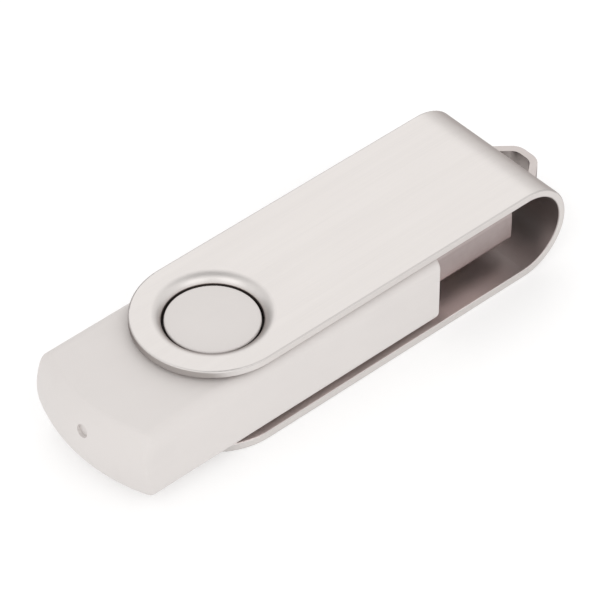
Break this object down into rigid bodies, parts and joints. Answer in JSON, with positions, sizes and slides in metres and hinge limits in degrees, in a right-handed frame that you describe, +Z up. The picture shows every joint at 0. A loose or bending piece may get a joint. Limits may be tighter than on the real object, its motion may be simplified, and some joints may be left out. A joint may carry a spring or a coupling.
{
  "type": "usb flash drive",
  "caption": "Swivel USB flash drive: folded satin aluminium clip with a lanyard loop turning on round bosses of a pale plastic body that holds a USB-A plug.",
  "frame": {"origin": "bottom centre of the drive's box, on the underside of the clip's lower plate, closed", "axes": "+X from the body's rounded tail to the clip's bend and lanyard loop, +Y across the width, +Z up through the plates"},
  "size_m": [0.0642, 0.0176, 0.0117],
  "materials": {
    "clip_aluminium": "satin, fine lengthwise brushing",
    "body_plastic": "pale off-white, fine matte texture",
    "plug_steel": "nickel plated, satin",
    "insulator_plastic": "black moulded",
    "contact_gold": "gold plated",
    "board_laminate": "green solder mask, semi-gloss",
    "chip_moulding": "black moulding compound",
    "tinned_leads": "tin plated, satin",
    "solder": "bright solder",
    "crystal_ceramic": "ceramic, matte",
    "crystal_can": "plated lid, satin",
    "led_lens": "clear cast lens, glossy",
    "resistor_body": "black glaze",
    "capacitor_body": "brown ceramic"
  },
  "bodies": {
    "housing": {"upper_shell": "body_plastic", "lower_shell": "body_plastic", "plug_shell": "plug_steel", "plug_insulator": "insulator_plastic", "plug_rear_cover": "insulator_plastic", "power_contact": "contact_gold", "data_minus_contact": "contact_gold", "data_plus_contact": "contact_gold", "ground_contact": "contact_gold", "circuit_board": "board_laminate", "contact_pads": "contact_gold", "contact_solder_joints": "solder", "shell_solder_joints": "solder", "flash_memory_chip": "chip_moulding", "flash_memory_leads": "tinned_leads", "controller_chip": "chip_moulding", "controller_leads": "tinned_leads", "voltage_regulator": "chip_moulding", "voltage_regulator_leads": "tinned_leads", "crystal_base": "crystal_ceramic", "crystal_lid": "crystal_can", "activity_led_base": "crystal_ceramic", "activity_led_lens": "led_lens", "chip_resistors": "resistor_body", "chip_resistor_terminals": "tinned_leads", "chip_capacitors": "capacitor_body", "chip_capacitor_terminals": "tinned_leads"},
    "clip": {"swivel_clip": "clip_aluminium"}
  },
  "joints": [
    {"name": "clip_swivel", "type": "hinge", "parent": "housing", "child": "clip", "pos_m": [-0.01358, 0, 0.00585], "axis": [0, 0, 1], "continuous": true}
  ]
}
